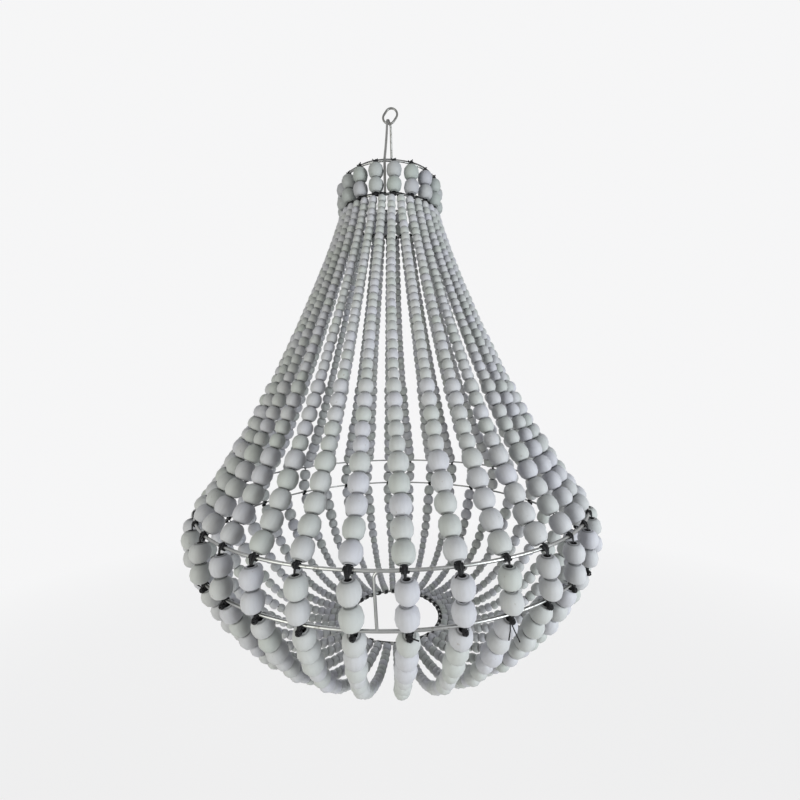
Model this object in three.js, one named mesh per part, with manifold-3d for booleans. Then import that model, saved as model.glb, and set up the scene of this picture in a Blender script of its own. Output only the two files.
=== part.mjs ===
// A beaded chandelier: strings of wooden beads hung between rings of steel wire.
// Millimetres, +Z up. The origin is the point inside the hanging link where the ceiling hook bears.
// The front of the chandelier looks along -Y, and azimuths are turned from the front towards +X.

import * as THREE from 'three'
import { mergeVertices } from 'three/addons/utils/BufferGeometryUtils.js'
import Module from 'manifold-3d'

const wasm = await Module()
wasm.setup()

// Wire frame: ring radii are taken at the centre of the wire
const crownRingRadius = 65.3
const crownRingSpacing = 41
const crownWire = 2.5
const shadeDrop = 386
const waistRingRadius = 248
const waistRingSpacing = 46.3
const waistWire = 3
const bowlDrop = 130.7
const bottomRingRadius = 64
const bottomWire = 3
const strutWire = 2.6
const strutBendRadius = 6

// Bail and hanging link
const bailWire = 3.2
const bailRise = 96.5
const bailCrestRadius = 7
const linkWire = 3
const linkLength = 26
const linkWidth = 19.5

// Beads, widest first across the waist, and the cord that they are strung on
const largeBeadWidth = 20
const broadBeadWidth = 16
const mediumBeadWidth = 12
const smallBeadWidth = 10.3
const crownBeadWidth = 19.2
const cordRadius = 1.5
const fit = 0.3

// Counts
const strandCount = 36
const crownPairCount = 18
const strutCount = 4
const shadeLargeBeads = 5
const shadeBroadBeads = 5
const shadeMediumBeads = 6
const bowlLargeBeads = 3
const bowlBroadBeads = 3
const bowlMediumBeads = 3
const crownBeadsInPair = 2
const waistBeadsInPair = 2
const wireSides = 5
const ringSides = 4
const beadSides = 4
const ringSteps = strandCount
const arcSteps = 4
const roundSteps = 6

// Azimuths of the first strand, the first crown pair, the first strut and the near leg of the bail
const degree = Math.PI / 180
const strandPhase = 1.8 * degree
const crownPhase = 5 * degree
const strutPhase = strandPhase - Math.PI / strandCount
const bailPhase = crownPhase - Math.PI / crownPairCount
const linkTilt = 33 * degree

// A bead is a little shorter than it is wide, and its drilled ends are flat
const beadLengthShare = 0.955
const beadEndShare = 0.5
// Slack of the hanging strings: inward and downward shares of their span at two control points
const shadeCurveShares = [[0.067, 0.157], [0.684, 0.861]]
const bowlCurveShares = [[0.111, 0.384], [0.316, 1.064]]
// Room for the knot under each waist pair, as a share of the cord's radius
const pairFootKnotShare = 0.3
// Places of the loft's sections along the runs of small beads
const bowlRunShares = [0.05, 0.32, 0.57, 0.79, 1]

// Heights, worked out upwards from the bail to the hook and downwards to the bottom ring
const linkBend = linkWidth / 2 - linkWire / 2
const linkSeat = linkBend - linkWire / 2 - bailWire / 2 - fit
const linkSpan = linkLength - linkWidth
const linkTopShift = linkSpan * Math.sin(linkTilt)
const hookDepth = Math.sqrt(Math.max((linkBend - linkWire / 2) ** 2 - linkTopShift ** 2, linkWire ** 2))
const bailZ = -(hookDepth + linkSpan * Math.cos(linkTilt) + linkSeat)
const crownTopZ = bailZ - bailRise
const crownZ = crownTopZ - crownRingSpacing
const waistTopZ = crownZ - shadeDrop
const waistFootZ = waistTopZ - waistRingSpacing
const bottomZ = waistFootZ - bowlDrop

// Distance of the cord from the centre of a waist ring's wire, where it passes over it
const waistSeat = waistWire / 2 + fit + cordRadius

const steel = new THREE.MeshStandardMaterial({ color: 0xa3a5a2, metalness: 0.9, roughness: 0.35 })
const paleWood = new THREE.MeshStandardMaterial({ color: 0xcbccd1, metalness: 0, roughness: 0.8 })

// Loft through sections that have the same number of points, capped or closed on itself
function loft(sections, closed) {
  const sides = sections[0].length
  const positions = sections.flat().flatMap((point) => point.toArray())
  const index = []
  const spans = closed ? sections.length : sections.length - 1
  for (let row = 0; row < spans; row++) {
    for (let side = 0; side < sides; side++) {
      const next = (side + 1) % sides
      const a = row * sides + side
      const b = row * sides + next
      const c = ((row + 1) % sections.length) * sides + side
      const d = ((row + 1) % sections.length) * sides + next
      index.push(a, c, b, b, c, d)
    }
  }
  if (!closed) {
    const last = (sections.length - 1) * sides
    for (let side = 1; side < sides - 1; side++) {
      index.push(0, side, side + 1)
      index.push(last, last + side + 1, last + side)
    }
  }
  const geometry = new THREE.BufferGeometry()
  geometry.setAttribute('position', new THREE.Float32BufferAttribute(positions, 3))
  geometry.setIndex(index)
  geometry.computeVertexNormals()
  return geometry
}

// Round section about a point of the XZ plane, square to a tangent that lies in that plane
function roundSection(centre, tangent, radius, sides, mitre = 1) {
  const section = []
  for (let side = 0; side < sides; side++) {
    const angle = (2 * Math.PI * side) / sides
    const across = radius * Math.cos(angle) * mitre
    section.push(new THREE.Vector3(
      centre.x - tangent.y * across,
      radius * Math.sin(angle),
      centre.y + tangent.x * across,
    ))
  }
  return section
}

// Loft along a line of points of the XZ plane, each with its own radius, mitred where the line turns
function loftAlong(points, radii, sides, closed = false) {
  const sections = points.map((point, i) => {
    const before = points[closed ? (i + points.length - 1) % points.length : Math.max(i - 1, 0)]
    const after = points[closed ? (i + 1) % points.length : Math.min(i + 1, points.length - 1)]
    const arriving = point.clone().sub(before).normalize()
    const leaving = after.clone().sub(point).normalize()
    const tangent = arriving.clone().add(leaving).normalize()
    const straight = before === point || after === point
    const mitre = straight ? 1 : 1 / Math.cos(arriving.angleTo(leaving) / 2)
    return roundSection(point, tangent, radii[i], sides, mitre)
  })
  return loft(sections, closed)
}

// Wire bent in the XZ plane through a list of points
function bentWire(points, diameter, closed = false) {
  return loftAlong(points, points.map(() => diameter / 2), wireSides, closed)
}

// Points of an arc from one angle to another
function arcPoints(centreX, centreZ, radius, from, to, steps) {
  return Array.from({ length: steps + 1 }, (unused, i) => {
    const angle = from + ((to - from) * i) / steps
    return new THREE.Vector2(centreX + radius * Math.cos(angle), centreZ + radius * Math.sin(angle))
  })
}

function addMesh(group, name, geometry, material) {
  const mesh = new THREE.Mesh(geometry, material)
  mesh.name = name
  group.add(mesh)
  return mesh
}

// Turns a group whose pieces lie in the XZ plane to an azimuth measured from the front
function turnTo(object, azimuth) {
  object.rotation.z = azimuth - Math.PI / 2
  return object
}

// One wire ring, with a corner at every strand so that each strand seats alike
function wireRing(radius, wire) {
  const ring = new THREE.TorusGeometry(radius, wire / 2, ringSides, ringSteps)
  ring.rotateZ(strandPhase - Math.PI / 2)
  return ring
}

function ringMesh(group, name, radius, wire, height) {
  addMesh(group, name, wireRing(radius, wire), steel).position.z = height
}

// Solid body of a geometry for joining
function solidOf(geometry) {
  const shell = geometry.clone()
  shell.deleteAttribute('normal')
  shell.deleteAttribute('uv')
  const merged = mergeVertices(shell)
  return new wasm.Manifold(new wasm.Mesh({
    numProp: 3,
    vertProperties: new Float32Array(merged.attributes.position.array),
    triVerts: new Uint32Array(merged.index.array),
  }))
}

function geometryOf(solid) {
  const mesh = solid.getMesh()
  const geometry = new THREE.BufferGeometry()
  geometry.setAttribute('position', new THREE.BufferAttribute(mesh.vertProperties, 3))
  geometry.setIndex(new THREE.BufferAttribute(mesh.triVerts, 1))
  geometry.computeVertexNormals()
  return geometry
}

// Waist frame: two rings joined by upright struts, whose heads are bent over to lie along the upper ring
function waistFrame() {
  const lineRadius = waistRingRadius * Math.cos(Math.PI / ringSteps)
  const headLength = strutWire
  let frame = solidOf(wireRing(waistRingRadius, waistWire).translate(0, 0, waistTopZ))
  frame = frame.add(solidOf(wireRing(waistRingRadius, waistWire).translate(0, 0, waistFootZ)))
  for (let i = 0; i < strutCount; i++) {
    const bend = arcPoints(
      strutBendRadius, waistTopZ - strutBendRadius, strutBendRadius, Math.PI, Math.PI / 2, arcSteps,
    )
    const points = [
      new THREE.Vector2(0, waistFootZ),
      ...bend,
      new THREE.Vector2(strutBendRadius + headLength, waistTopZ),
    ]
    const strut = bentWire(points, strutWire)
    strut.translate(0, -lineRadius, 0)
    strut.rotateZ(strutPhase + (2 * Math.PI * i) / strutCount)
    frame = frame.add(solidOf(strut))
  }
  return geometryOf(frame)
}

// Bail: a hairpin of wire whose legs stand outside both crown rings and meet over the middle
function bail() {
  const legRadius = crownRingRadius + crownWire / 2 + fit + bailWire / 2
  const shoulderZ = crownTopZ + crownWire / 2
  const crestZ = bailZ - bailCrestRadius
  const slope = Math.atan2(crestZ - shoulderZ, legRadius)
  const crest = arcPoints(0, crestZ, bailCrestRadius, Math.PI / 2 + slope, Math.PI / 2 - slope, roundSteps)
  const points = [
    new THREE.Vector2(-legRadius, crownZ),
    new THREE.Vector2(-legRadius, shoulderZ),
    ...crest,
    new THREE.Vector2(legRadius, shoulderZ),
    new THREE.Vector2(legRadius, crownZ),
  ]
  return bentWire(points, bailWire)
}

// Hanging link: an oval of round wire that stands tilted, its lower bend under the top of the bail
function hangingLink() {
  const points = [
    ...arcPoints(0, linkSpan, linkBend, 0, Math.PI, roundSteps),
    ...arcPoints(0, 0, linkBend, Math.PI, 2 * Math.PI, roundSteps),
  ]
  const link = bentWire(points, linkWire, true)
  link.rotateY(linkTilt)
  link.translate(0, 0, bailZ + linkSeat)
  return link
}

// Radius of the flat, drilled end of a bead
function endRadius(width) {
  return (width / 2) * beadEndShare
}

// Beads strung one after another: a widest section in the middle of each and a waist between two
function stringBeads(stations, start, length, widths) {
  widths.forEach((width, i) => {
    const neighbour = widths[i + 1] ?? width
    stations.push({ along: start + (i + 0.5) * length, radius: width / 2 })
    stations.push({ along: start + (i + 1) * length, radius: endRadius(Math.min(width, neighbour)) })
  })
}

// A hanging curve in the plane through the axis, between two rings given by radius and height
function hangingCurve(from, to, curveShares) {
  const point = (shares) => new THREE.Vector2(
    from.x + shares[0] * (to.x - from.x), from.y + shares[1] * (to.y - from.y),
  )
  return new THREE.CubicBezierCurve(point([0, 0]), ...curveShares.map(point), point([1, 1]))
}

// Distance along a curve from a waist ring to the level at which the cord passes over the wire
function beadStop(curve, share) {
  return waistSeat / Math.abs(curve.getTangent(share).y)
}

function bare(along) {
  return { along, radius: cordRadius }
}

// Sections down the shade: the broad and large beads are single, the smaller ones one smooth run
function shadeStations(curve) {
  const largeLength = largeBeadWidth * beadLengthShare
  const broadLength = broadBeadWidth * beadLengthShare
  const mediumLength = mediumBeadWidth * beadLengthShare
  const end = curve.getLength() - beadStop(curve, 1)
  const largeStart = end - shadeLargeBeads * largeLength
  const broadStart = largeStart - shadeBroadBeads * broadLength
  const mediumStart = broadStart - shadeMediumBeads * mediumLength
  const stations = [
    { along: crownWire / 2 + fit, radius: smallBeadWidth / 2 },
    { along: mediumStart, radius: (smallBeadWidth + mediumBeadWidth) / 4 },
    { along: broadStart, radius: endRadius(broadBeadWidth) },
  ]
  stringBeads(stations, broadStart, broadLength, Array(shadeBroadBeads).fill(broadBeadWidth))
  stringBeads(stations, largeStart, largeLength, Array(shadeLargeBeads).fill(largeBeadWidth))
  stations[stations.length - 1] = bare(end)
  return stations
}

// Sections past the waist: bare cord over each ring and the pair of beads between them
function waistStations(line) {
  const start = 2 * waistSeat
  const footKnot = waistWire / 2 + fit + pairFootKnotShare * cordRadius
  const length = waistRingSpacing - waistSeat - footKnot
  const stations = [bare(0), bare(start)]
  stringBeads(stations, start, length / waistBeadsInPair, Array(waistBeadsInPair).fill(largeBeadWidth))
  stations[stations.length - 1] = bare(start + length)
  stations.push(bare(line.getLength()))
  return stations
}

// Sections along the bowl: the large beads are single, the others one smooth run to the bottom ring
function bowlStations(curve) {
  const largeLength = largeBeadWidth * beadLengthShare
  const start = beadStop(curve, 0)
  const runStart = start + bowlLargeBeads * largeLength
  const broadEnd = runStart + bowlBroadBeads * broadBeadWidth * beadLengthShare
  const mediumEnd = broadEnd + bowlMediumBeads * mediumBeadWidth * beadLengthShare
  const end = curve.getLength() - bottomWire / 2 - fit
  const stations = [bare(start)]
  stringBeads(stations, start, largeLength, Array(bowlLargeBeads).fill(largeBeadWidth))
  const widthAt = (along) => {
    if (along < broadEnd) return broadBeadWidth
    if (along < mediumEnd) return mediumBeadWidth
    return smallBeadWidth
  }
  for (const share of bowlRunShares) {
    const along = runStart + share * (end - runStart)
    stations.push({ along, radius: widthAt(along) / 2 })
  }
  return stations
}

// A string of beads. Those of the shade and the bowl stand in line with the wire of the waist rings,
// and the cord steps out over it to the pair that hangs outside.
function beadStrand() {
  const crown = new THREE.Vector2(crownRingRadius, crownZ)
  const waistTop = new THREE.Vector2(waistRingRadius, waistTopZ)
  const waistFoot = new THREE.Vector2(waistRingRadius, waistFootZ)
  const bottom = new THREE.Vector2(bottomRingRadius, bottomZ)
  const shade = hangingCurve(crown, waistTop, shadeCurveShares)
  const bowl = hangingCurve(waistFoot, bottom, bowlCurveShares)
  const waist = new THREE.LineCurve(
    new THREE.Vector2(waistRingRadius + waistSeat, waistTopZ + waistSeat),
    new THREE.Vector2(waistRingRadius + waistSeat, waistFootZ - waistSeat),
  )
  const stretches = [
    [shade, shadeStations(shade)],
    [waist, waistStations(waist)],
    [bowl, bowlStations(bowl)],
  ]
  const points = []
  const radii = []
  for (const [curve, stations] of stretches) {
    for (const { along, radius } of stations) {
      points.push(curve.getPointAt(THREE.MathUtils.clamp(along / curve.getLength(), 0, 1)))
      radii.push(radius)
    }
  }
  return loftAlong(points, radii, beadSides)
}

// The beads of one pair of the crown, standing between its two rings
function crownPair() {
  const foot = crownZ + crownWire / 2 + fit
  const length = (crownRingSpacing - crownWire - 2 * fit) / crownBeadsInPair
  const stations = [{ along: 0, radius: endRadius(crownBeadWidth) }]
  stringBeads(stations, 0, length, Array(crownBeadsInPair).fill(crownBeadWidth))
  const up = new THREE.Vector2(0, 1)
  const sections = stations.map(({ along, radius }) => (
    roundSection(new THREE.Vector2(crownRingRadius, foot + along), up, radius, beadSides)
  ))
  return loft(sections, false)
}

const chandelier = new THREE.Group()
addMesh(chandelier, 'hanging_link', hangingLink(), steel)
turnTo(addMesh(chandelier, 'bail', bail(), steel), bailPhase)
ringMesh(chandelier, 'crown_top_ring', crownRingRadius, crownWire, crownTopZ)
ringMesh(chandelier, 'crown_lower_ring', crownRingRadius, crownWire, crownZ)
addMesh(chandelier, 'waist_frame', waistFrame(), steel)
ringMesh(chandelier, 'bottom_ring', bottomRingRadius, bottomWire, bottomZ)

const pair = crownPair()
for (let i = 0; i < crownPairCount; i++) {
  const name = `crown_beads_${String(i + 1).padStart(2, '0')}`
  turnTo(addMesh(chandelier, name, pair, paleWood), crownPhase + (2 * Math.PI * i) / crownPairCount)
}

const strand = beadStrand()
for (let i = 0; i < strandCount; i++) {
  const name = `bead_strand_${String(i + 1).padStart(2, '0')}`
  turnTo(addMesh(chandelier, name, strand, paleWood), strandPhase + (2 * Math.PI * i) / strandCount)
}

export default chandelier
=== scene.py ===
# %% [markdown]
# # A beaded chandelier
# Strings of pale, washed wooden beads hang between rings of steel wire. They are gathered at a small
# crown, flare out to a wide waist and sag into a shallow bowl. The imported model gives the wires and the
# strings as plain solids. This notebook dresses them: round wires, single turned beads and black cord.

import math
import random

import bmesh
import bpy
from mathutils import Matrix, Vector


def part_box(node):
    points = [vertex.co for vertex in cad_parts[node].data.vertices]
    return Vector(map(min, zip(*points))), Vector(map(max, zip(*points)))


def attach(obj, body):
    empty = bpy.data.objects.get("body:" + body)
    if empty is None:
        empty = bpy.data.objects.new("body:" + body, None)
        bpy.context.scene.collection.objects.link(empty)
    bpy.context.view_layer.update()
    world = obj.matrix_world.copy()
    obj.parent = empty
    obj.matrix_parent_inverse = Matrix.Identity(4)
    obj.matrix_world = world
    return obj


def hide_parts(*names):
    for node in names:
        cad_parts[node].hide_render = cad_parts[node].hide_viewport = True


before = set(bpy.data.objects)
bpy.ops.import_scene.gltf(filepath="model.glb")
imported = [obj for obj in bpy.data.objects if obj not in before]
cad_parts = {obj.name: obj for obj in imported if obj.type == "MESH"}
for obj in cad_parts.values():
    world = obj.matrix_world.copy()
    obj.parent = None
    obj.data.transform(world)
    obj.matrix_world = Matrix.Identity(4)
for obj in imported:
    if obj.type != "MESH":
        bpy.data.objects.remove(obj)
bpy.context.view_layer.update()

# %% [markdown]
# ## Sizes
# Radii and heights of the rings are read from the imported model, so the dressing always follows it. The
# wires, beads and cord have stock sizes, and each is named once, in metres.

# %% Sizes of wires, beads and cord
mm = 0.001
crown_wire = 2.5 * mm
waist_wire = 3 * mm
bottom_wire = 3 * mm
strut_wire = 2.6 * mm
bail_wire = 3.2 * mm
link_wire = 3 * mm
cord = 1.3 * mm
thin_cord = 0.8 * cord
cord_room = 3 * mm
fit = 0.3 * mm
wire_sides, thread_sides, knot_sides = 12, 5, 6

large_bead = 20 * mm
broad_bead = 16 * mm
medium_bead = 12 * mm
small_bead = 10.8 * mm
crown_bead = 19.2 * mm
bead_length_share = 0.955
seam = 0.4 * mm
bead_play = 0.2 * mm


def wire_ring(node, wire):
    """Radius and height of a wire ring, both at the middle of its wire."""
    low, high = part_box(node)
    return (high.x - low.x - wire) / 2, (high.z + low.z) / 2


crown_radius, crown_top = wire_ring("crown_top_ring", crown_wire)
crown_foot = wire_ring("crown_lower_ring", crown_wire)[1]
bottom_radius, bottom_height = wire_ring("bottom_ring", bottom_wire)
waist_radius = wire_ring("waist_frame", waist_wire)[0]
waist_low, waist_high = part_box("waist_frame")
waist_top = waist_high.z - waist_wire / 2
waist_foot = waist_low.z + waist_wire / 2
radii = (crown_radius, waist_radius, bottom_radius)
print("radii of crown, waist and bottom, metres:", [round(radius, 4) for radius in radii])

# %% Counts and azimuths
string_count = 36
pair_count = 18
strut_count = 4
full_turn = 2 * math.pi
string_azimuth = math.radians(1.8)
pair_azimuth = math.radians(5)
strut_azimuth = string_azimuth - math.pi / string_count
bail_azimuth = pair_azimuth - math.pi / pair_count


def at_azimuth(azimuth, out, up, across=0.0):
    """A point out from the axis, at a height. Azimuths are turned from the front towards +X."""
    c, s = math.cos(azimuth), math.sin(azimuth)
    return Vector((out * s + across * c, across * s - out * c, up))


# %% [markdown]
# ## Camera
# The photograph is taken from close by with a wide lens, level with the middle of the shade. The camera is
# turned a little to the right of the axis, and rolled a little. The place and the lens were fitted to the
# ring ellipses. The lens is given in pixels of an 800 pixel frame, like the column of the axis and the row
# of the horizon.


# %% Camera
def in_scene(name, data):
    """A new object, put into the scene."""
    item = bpy.data.objects.new(name, data)
    bpy.context.scene.collection.objects.link(item)
    return item


photo_pixels = 800
focal_pixels = 377.6
axis_column = 392.2
horizon_row = 395.5
camera_distance = 536.75 * mm
camera_height = -405.65 * mm
camera_turn = -math.atan((photo_pixels / 2 - axis_column) / focal_pixels)
camera_roll = -0.012

camera_data = bpy.data.cameras.new("camera")
camera_data.sensor_width = 36
camera_data.lens = camera_data.sensor_width * focal_pixels / photo_pixels
camera_data.shift_y = (horizon_row - photo_pixels / 2) / photo_pixels
camera_data.clip_start = 10 * mm
camera = in_scene("camera", camera_data)
camera.matrix_world = (
    Matrix.Translation((0, -camera_distance, camera_height))
    @ Matrix.Rotation(camera_turn, 4, "Z")
    @ Matrix.Rotation(math.pi / 2, 4, "X")
    @ Matrix.Rotation(camera_roll, 4, "Z")
)
bpy.context.scene.camera = camera
print("lens", round(camera_data.lens, 2), "mm")

# %% [markdown]
# ## Node helpers
# Every tree here, for geometry and for shading, is built from the same few calls: add a node, set its
# options, and give each input a value or the output of another node.


# %% Node helpers
def feed(tree, plug, value):
    """Gives an input a value, or links another node's output to it."""
    if isinstance(value, bpy.types.NodeSocket):
        tree.links.new(value, plug)
    else:
        plug.default_value = value


def add(tree, kind, inputs=None, **options):
    """Adds a node. Inputs are named by identifier and take a value or another node's output."""
    node = tree.nodes.new(kind)
    for name, value in options.items():
        setattr(node, name, value)
    for name, value in (inputs or {}).items():
        feed(tree, next(s for s in node.inputs if s.identifier == name), value)
    return node


def calculate(tree, operation, *values):
    """One sum, product or other operation on numbers."""
    names = ("Value", "Value_001", "Value_002")
    return add(tree, "ShaderNodeMath", dict(zip(names, values)), operation=operation).outputs[0]


def calculate_vector(tree, operation, first, second):
    """One sum or product of two vectors."""
    inputs = {"Vector": first, "Vector_001": second}
    return add(tree, "ShaderNodeVectorMath", inputs, operation=operation).outputs[0]


def combined(tree, x, y, z):
    return add(tree, "ShaderNodeCombineXYZ", {"X": x, "Y": y, "Z": z}).outputs[0]


def new_group(name, kind, inputs, outputs):
    """A node group with named inputs and outputs: the tree, what it is given and what it returns."""
    tree = bpy.data.node_groups.new(name, kind)
    for label, (socket_type, value) in inputs.items():
        socket = tree.interface.new_socket(label, in_out="INPUT", socket_type=socket_type)
        if value is not None:
            socket.default_value = value
    for label, socket_type in outputs.items():
        tree.interface.new_socket(label, in_out="OUTPUT", socket_type=socket_type)
    given = tree.nodes.new("NodeGroupInput").outputs
    returned = tree.nodes.new("NodeGroupOutput").inputs
    return tree, given, returned


def number(value=0.0):
    return "NodeSocketFloat", value


def whole(value=1):
    return "NodeSocketInt", value


a_vector = ("NodeSocketVector", None)
an_object = ("NodeSocketObject", None)
a_material = ("NodeSocketMaterial", None)

# %% [markdown]
# ## Shared surface effects
# Two effects serve several finishes. Grain is a noise drawn out along one direction, for turned wood, drawn
# wire and twisted cord. Specks are small scattered spots, for chips in the wash and spots of tarnish.


# %% Shader groups: grain and specks
def noise(tree, place, given, detail):
    inputs = {"Vector": place, "W": given["Seed"], "Scale": given["Fineness"], "Detail": detail}
    return add(tree, "ShaderNodeTexNoise", inputs, noise_dimensions="4D").outputs[0]


def grain_group():
    tree, given, returned = new_group(
        "grain", "ShaderNodeTree",
        {"Place": a_vector, "Seed": number(), "Fineness": number(900.0), "Stretch": number(0.1)},
        {"Grain": "NodeSocketFloat"},
    )
    drawn_out = combined(tree, 1.0, 1.0, given["Stretch"])
    place = calculate_vector(tree, "MULTIPLY", given["Place"], drawn_out)
    tree.links.new(noise(tree, place, given, 3.0), returned["Grain"])
    return tree


def speck_group():
    tree, given, returned = new_group(
        "specks", "ShaderNodeTree",
        {"Place": a_vector, "Seed": number(), "Fineness": number(400.0), "Level": number(0.65),
         "Softness": number(0.04)},
        {"Mask": "NodeSocketFloat"},
    )
    value = noise(tree, given["Place"], given, 2.0)
    full = calculate(tree, "ADD", given["Level"], given["Softness"])
    inputs = {"Value": value, "From Min": given["Level"], "From Max": full}
    mask = add(tree, "ShaderNodeMapRange", inputs, interpolation_type="SMOOTHSTEP")
    tree.links.new(mask.outputs[0], returned["Mask"])
    return tree


grain = grain_group()
specks = speck_group()


# %% Material helpers
def effect(tree, group, **inputs):
    """Places a shared effect in a material, with its own values, and returns its output."""
    node = tree.nodes.new("ShaderNodeGroup")
    node.node_tree = group
    for name, value in inputs.items():
        feed(tree, node.inputs[name], value)
    return node.outputs[0]


def attribute(tree, name, output="Fac"):
    return add(tree, "ShaderNodeAttribute", attribute_name=name).outputs[output]


def blend_colours(tree, share, first, second):
    """A colour between two, each of which is a plain colour or the output of another node."""
    first, second = (c if isinstance(c, bpy.types.NodeSocket) else (*c, 1.0) for c in (first, second))
    inputs = {"Factor_Float": share, "A_Color": first, "B_Color": second}
    mix = add(tree, "ShaderNodeMix", inputs, data_type="RGBA")
    return next(s for s in mix.outputs if s.identifier == "Result_Color")


def surface(name, **constants):
    """A material with one Principled shader whose named sockets are set to plain values."""
    material = bpy.data.materials.new(name)
    material.use_nodes = True
    tree = material.node_tree
    shader = next(n for n in tree.nodes if n.type == "BSDF_PRINCIPLED")
    for label, value in constants.items():
        shader.inputs[label.replace("_", " ")].default_value = value
    return material, tree, shader.inputs


def relief(tree, shader, height, depth):
    """Bump of a given depth, in metres."""
    bump = add(tree, "ShaderNodeBump", {"Height": height, "Distance": depth, "Strength": 1.0})
    tree.links.new(bump.outputs[0], shader["Normal"])


# %% [markdown]
# ## Washed wood
# The beads are turned from pale wood and dipped in a thin grey wash. The crown's beads get a darker copy of
# it, which is painted shade for the dimmer light at the top.
# From bead to bead the wash dries a little greener, greyer or bluer, the grain lies along the hole and a few
# chips show bare wood. The rims of the drilled ends and the holes are painted darker, as painted shade in
# the seams between beads and inside the holes. Each bead carries its own axes, how far it is to the end and
# a random tone as attributes, so no two beads share a pattern and the painted seam line stays thin and crisp.

# %% Washed wood
string_washes = ((0.47, 0.495, 0.475), (0.515, 0.52, 0.53), (0.53, 0.53, 0.58))
# A darker copy of the washes, as painted shade for the dimmer light on the crown.
crown_shaded_washes = ((0.385, 0.425, 0.4), (0.425, 0.435, 0.45), (0.43, 0.43, 0.485))
thin_wash = (0.4, 0.4, 0.405)
string_thick_wash = (0.62, 0.62, 0.635)
crown_shaded_thick_wash = (0.5, 0.5, 0.52)
# Near black for the painted shade in the seams between beads and inside the holes.
seam_shade_colour = (0.06, 0.06, 0.06)
bare_wood = (0.27, 0.22, 0.18)
streak_grain = {"Fineness": 420.0, "Stretch": 0.08}
cloud_grain = {"Fineness": 90.0, "Stretch": 1.0}
chip_specks = {"Fineness": 330.0, "Level": 0.7, "Softness": 0.05}
streak_level, streak_strength = 0.42, 0.9
cloud_level, cloud_strength = 0.4, 0.5
chip_strength = 0.45
rim_edge, rim_full = 0.09, 0.03
bore_edge, bore_full = 1.8, 1.95
seed_range = 50.0
wash_roughness, streak_roughness = 0.5, 0.25
wash_relief = 0.04 * mm


def washed_wood(name, washes, thick_wash, seam_shade):
    """Wood in three thin washes and clouds of a thicker one. Rims, by a share, and holes get painted shade.
    """
    material, tree, shader = surface(name, Roughness=0.6, IOR=1.4)
    place = attribute(tree, "turned", "Vector")
    tone = attribute(tree, "bead_tone")
    seed = calculate(tree, "MULTIPLY", tone, seed_range)
    wash = add(tree, "ShaderNodeValToRGB", {"Fac": tone})
    green, grey, lilac = ((*colour, 1) for colour in washes)
    stops = wash.color_ramp.elements
    stops[0].color = green
    stops[1].color = lilac
    stops.new(0.5).color = grey
    streaks = effect(tree, grain, Place=place, Seed=seed, **streak_grain)
    streak_share = calculate(tree, "SUBTRACT", streaks, streak_level)
    streak_share = calculate(tree, "MULTIPLY", streak_share, streak_strength)
    clouds = effect(tree, grain, Place=place, Seed=seed, **cloud_grain)
    cloud_share = calculate(tree, "SUBTRACT", clouds, cloud_level)
    cloud_share = calculate(tree, "MULTIPLY", cloud_share, cloud_strength)
    chipped = effect(tree, specks, Place=place, Seed=seed, **chip_specks)
    chip_share = calculate(tree, "MULTIPLY", chipped, chip_strength)
    # Painted shade: a thin dark line at the rims stands for the shade in the seams between beads, and the
    # holes are darkened for the shade inside them.
    to_end = attribute(tree, "to_end")
    from_rim = calculate(tree, "ABSOLUTE", calculate(tree, "SUBTRACT", to_end, 1.0))
    rim_range = {"Value": from_rim, "From Min": rim_edge, "From Max": rim_full, "To Max": seam_shade}
    rim = add(tree, "ShaderNodeMapRange", rim_range).outputs[0]
    bore_range = {"Value": to_end, "From Min": bore_edge, "From Max": bore_full}
    bore = add(tree, "ShaderNodeMapRange", bore_range).outputs[0]
    painted_shade = calculate(tree, "MAXIMUM", rim, bore)
    colour = blend_colours(tree, streak_share, wash.outputs[0], thin_wash)
    colour = blend_colours(tree, cloud_share, colour, thick_wash)
    colour = blend_colours(tree, chip_share, colour, bare_wood)
    colour = blend_colours(tree, painted_shade, colour, seam_shade_colour)
    tree.links.new(colour, shader["Base Color"])
    rough = calculate(tree, "MULTIPLY_ADD", streaks, streak_roughness, wash_roughness)
    tree.links.new(rough, shader["Roughness"])
    height = calculate(tree, "SUBTRACT", streaks, chipped)
    relief(tree, shader, height, wash_relief)
    return material


# The last value is how far the rims are darkened by painted shade.
string_wash = washed_wood("string_wash", string_washes, string_thick_wash, 0.6)
# The crown's beads: the same wash painted darker, as painted shade at the top.
crown_shaded_wash = washed_wood("crown_shaded_wash", crown_shaded_washes, crown_shaded_thick_wash, 0.5)

# %% [markdown]
# ## Steel wire
# The rings are bright drawn wire with die lines along it and a few dull spots. The bail and the link are
# of darker, heavier wire. The place on the wire, around it and along it, comes with the tube as an
# attribute, so the lines follow every bend.

# %% Steel wire
die_lines = {"Seed": 1.0, "Fineness": 2600.0, "Stretch": 0.01}
dull_patches = {"Seed": 4.0, "Fineness": 120.0, "Stretch": 0.5}
tarnish_spots = {"Seed": 7.0, "Fineness": 300.0, "Softness": 0.08}
tarnished = (0.16, 0.15, 0.13)
tarnish_strength = 0.6
clean_roughness, tarnish_roughness, line_roughness = 0.22, 0.25, 0.2
wire_relief = 0.02 * mm


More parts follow.
